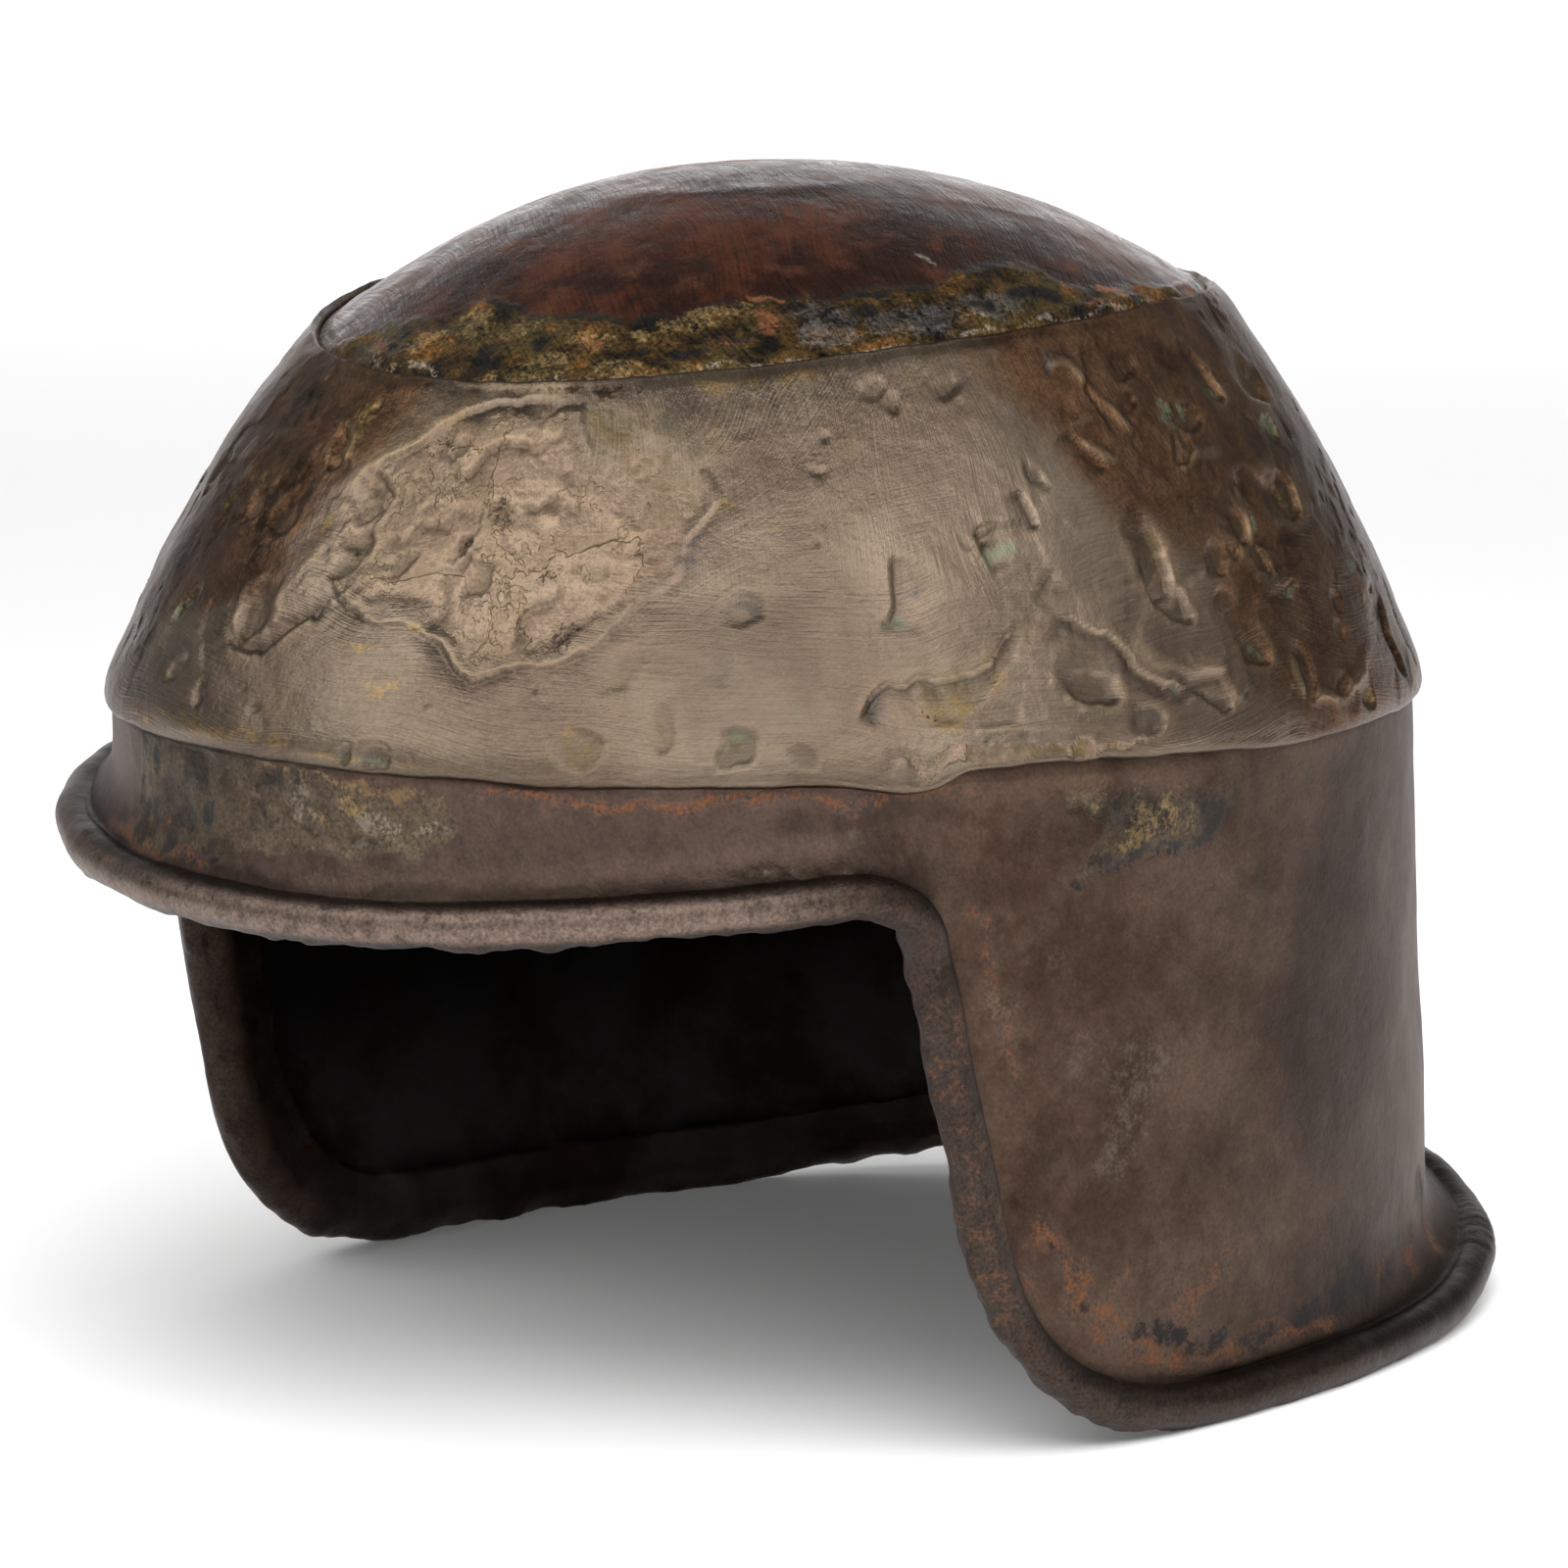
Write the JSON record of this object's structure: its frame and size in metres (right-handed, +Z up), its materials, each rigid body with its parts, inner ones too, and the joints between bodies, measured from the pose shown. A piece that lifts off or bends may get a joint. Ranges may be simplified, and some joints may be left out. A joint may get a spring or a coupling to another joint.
{
  "type": "open-faced iron helmet with a bronze middle band",
  "caption": "Open helmet of a shallow iron cap, a tapered bronze band and an iron lower body with brow, side flaps, neck guard and a rolled edge.",
  "frame": {"origin": "on the surface the helmet stands on, under the middle of its outline", "axes": "-Y is where the wearer looks, +X is the wearer's left, +Z is up"},
  "size_m": [0.2056, 0.2621, 0.2026],
  "materials": {
    "cap_iron": "dark red-brown patina, worn grey on top",
    "band_bronze": "satin brown bronze with green corrosion in its pits",
    "body_iron": "matt brown patina with rust in the creases"
  },
  "bodies": {
    "root": {"skull_cap": "cap_iron", "middle_band": "band_bronze", "lower_body": "body_iron"}
  },
  "joints": []
}
